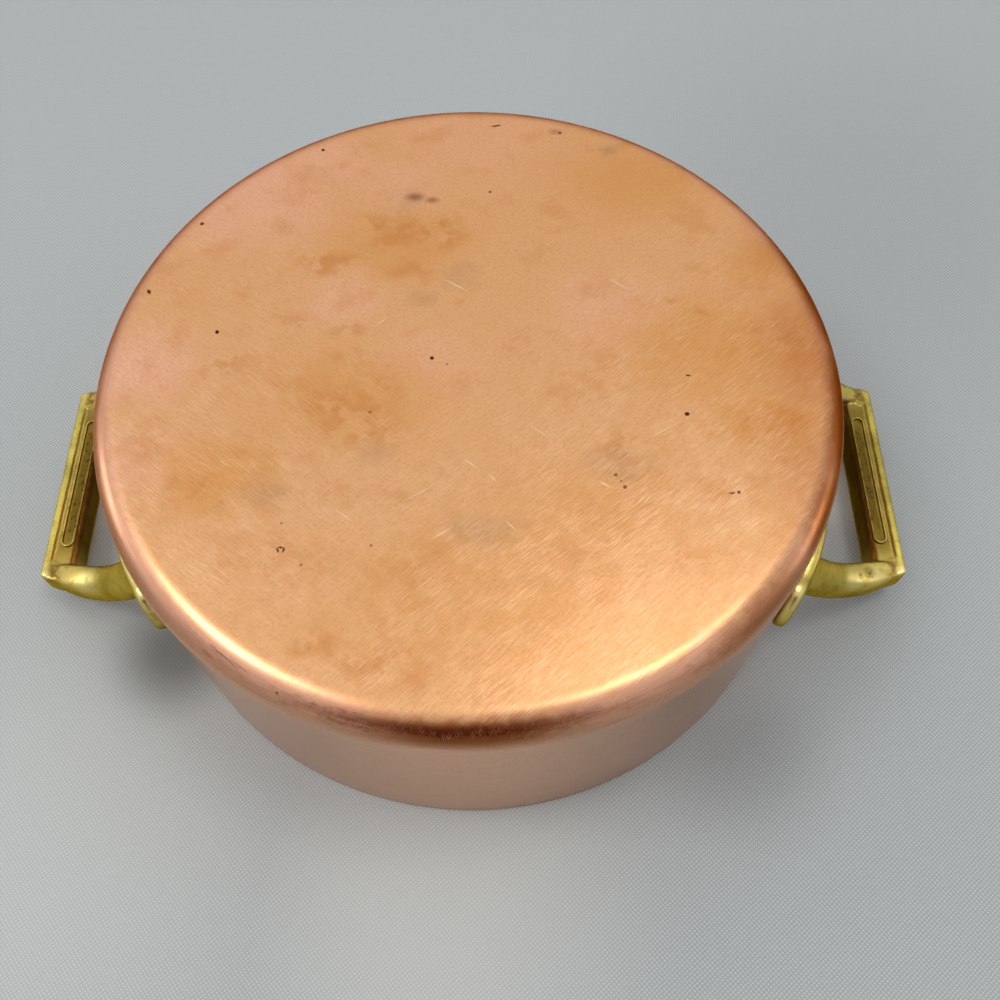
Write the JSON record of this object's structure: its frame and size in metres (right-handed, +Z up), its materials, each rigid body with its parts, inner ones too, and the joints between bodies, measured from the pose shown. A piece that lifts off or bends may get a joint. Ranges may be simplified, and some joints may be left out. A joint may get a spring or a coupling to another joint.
{
  "type": "buffet casserole",
  "caption": "Round copper casserole with a flat base, straight wall, steel lining and a cast brass loop handle riveted on each side.",
  "frame": {"origin": "middle of the underside of the flat base, on the surface that the pot stands on", "axes": "+Z up along the pot's axis towards its open rim; +X through the middle of the right handle; +Y to the rear"},
  "size_m": [0.2628, 0.2, 0.077],
  "materials": {
    "copper": null,
    "stainless_steel": "brushed stainless steel lining",
    "cast_brass": "cast brass, worn bright on the edges, brown in the recesses",
    "rivet_steel": "stainless steel rivets"
  },
  "bodies": {
    "root": {"copper_body": "copper", "steel_lining": "stainless_steel", "right_handle": "cast_brass", "left_handle": "cast_brass", "right_front_inner_rivet": "rivet_steel", "right_front_outer_rivet": "rivet_steel", "right_rear_inner_rivet": "rivet_steel", "right_rear_outer_rivet": "rivet_steel", "left_front_inner_rivet": "rivet_steel", "left_front_outer_rivet": "rivet_steel", "left_rear_inner_rivet": "rivet_steel", "left_rear_outer_rivet": "rivet_steel"}
  },
  "joints": []
}
